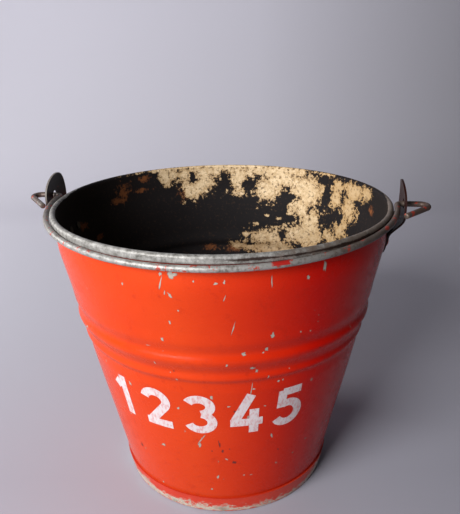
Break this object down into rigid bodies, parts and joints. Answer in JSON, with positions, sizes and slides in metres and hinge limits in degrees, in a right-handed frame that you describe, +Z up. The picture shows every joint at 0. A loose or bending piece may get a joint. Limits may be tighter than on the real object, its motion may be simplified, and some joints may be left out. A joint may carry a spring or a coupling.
{
  "type": "fire bucket",
  "caption": "Tapered sheet-metal fire bucket with a wired rim, pressed ribs, foot hoop, dished ears and a swinging wire bail.",
  "frame": {"origin": "on the floor, under the middle of the bucket, with the bail lying at the front", "axes": "+Z up, +X along the bail's hinge line towards the right ear as seen from the front, -Y towards the side where the bail rests"},
  "size_m": [0.366, 0.3103, 0.2905],
  "materials": {
    "red_paint": "chipped red-orange gloss paint on galvanised sheet, black inside",
    "bitumen_paint": "black bitumen paint, flaking to sand-coloured patches",
    "ear_paint": "old black paint over red on pressed steel",
    "worn_zinc": "worn galvanised wire with specks of red paint",
    "bare_steel": "plain steel wire, hidden inside the rim"
  },
  "bodies": {
    "bucket": {"body_wall": "red_paint", "rim_wire_ring": "bare_steel", "bottom_plate": "bitumen_paint", "foot_hoop": "red_paint", "hoop_rivet": "red_paint", "ear_left": "ear_paint", "ear_right": "ear_paint", "ear_rivets_left": "red_paint", "ear_rivets_right": "red_paint"},
    "bail": {"bail": "worn_zinc"}
  },
  "joints": [
    {"name": "bail_swing", "type": "hinge", "parent": "bucket", "child": "bail", "pos_m": [0, 0, 0.269], "axis": [-1, 0, 0], "range_deg": [0, 185.6]}
  ]
}
